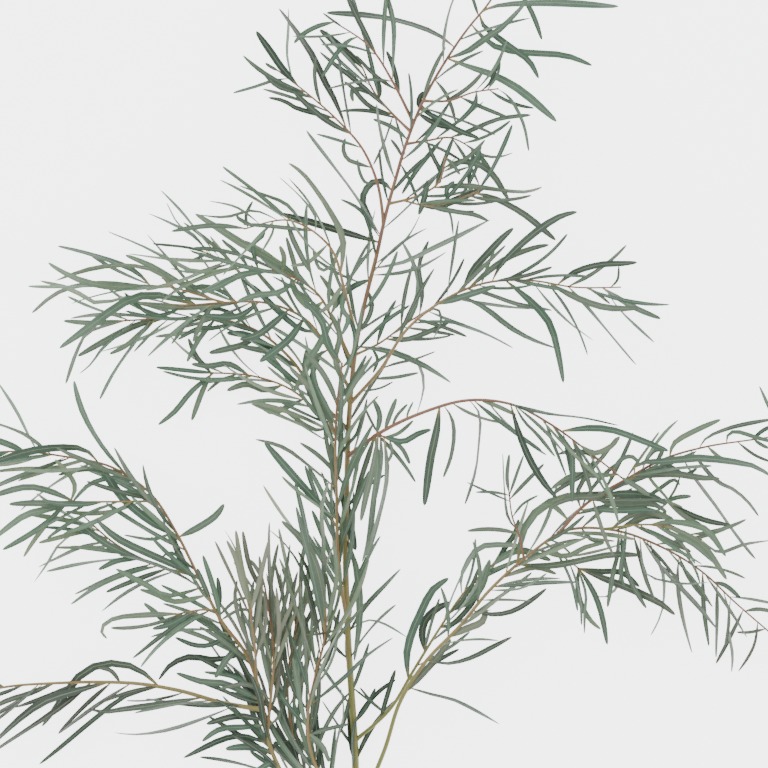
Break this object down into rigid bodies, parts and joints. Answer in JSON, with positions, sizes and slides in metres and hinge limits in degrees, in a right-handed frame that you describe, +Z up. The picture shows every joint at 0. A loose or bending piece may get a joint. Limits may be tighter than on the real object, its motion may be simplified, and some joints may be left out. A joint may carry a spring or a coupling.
{
  "type": "eucalyptus branch",
  "caption": "Cut branch of narrow-leaved eucalyptus lying down: a woody main stem with arching leafy shoots of long, slim, grey-green leaves.",
  "frame": {"origin": "on the surface that the branch lies on, under the middle of its bounding box", "axes": "+Y along the main stem from its cut end to its tip, +X to the right seen from above, +Z up from the surface"},
  "size_m": [0.773, 0.9251, 0.1243],
  "materials": {
    "stem": "thin smooth bark, yellow-green low down and red-brown above",
    "leaf": "matt, slightly waxy grey-green"
  },
  "bodies": {
    "root": {"main_stem": "stem", "shoot_top_left": "leaf", "shoot_top_inner": "leaf", "shoot_upper_left": "leaf", "shoot_top_right": "leaf", "shoot_right_curl": "leaf", "shoot_right_fan": "leaf", "shoot_mid_right": "leaf", "shoot_mid_low": "leaf", "shoot_arch": "leaf", "shoot_right_inner": "leaf", "shoot_right_outer": "leaf", "shoot_small_upright": "leaf", "shoot_right_spread": "leaf", "shoot_left_high": "leaf", "shoot_left_broad": "leaf", "shoot_left_level": "leaf", "shoot_left_long": "leaf", "shoot_left_low": "leaf", "shoot_stem_side": "leaf", "shoot_far_left": "leaf", "shoot_low_left": "leaf", "shoot_upright_one": "leaf", "shoot_upright_two": "leaf", "shoot_upright_three": "leaf", "shoot_upright_four": "leaf"}
  },
  "joints": []
}
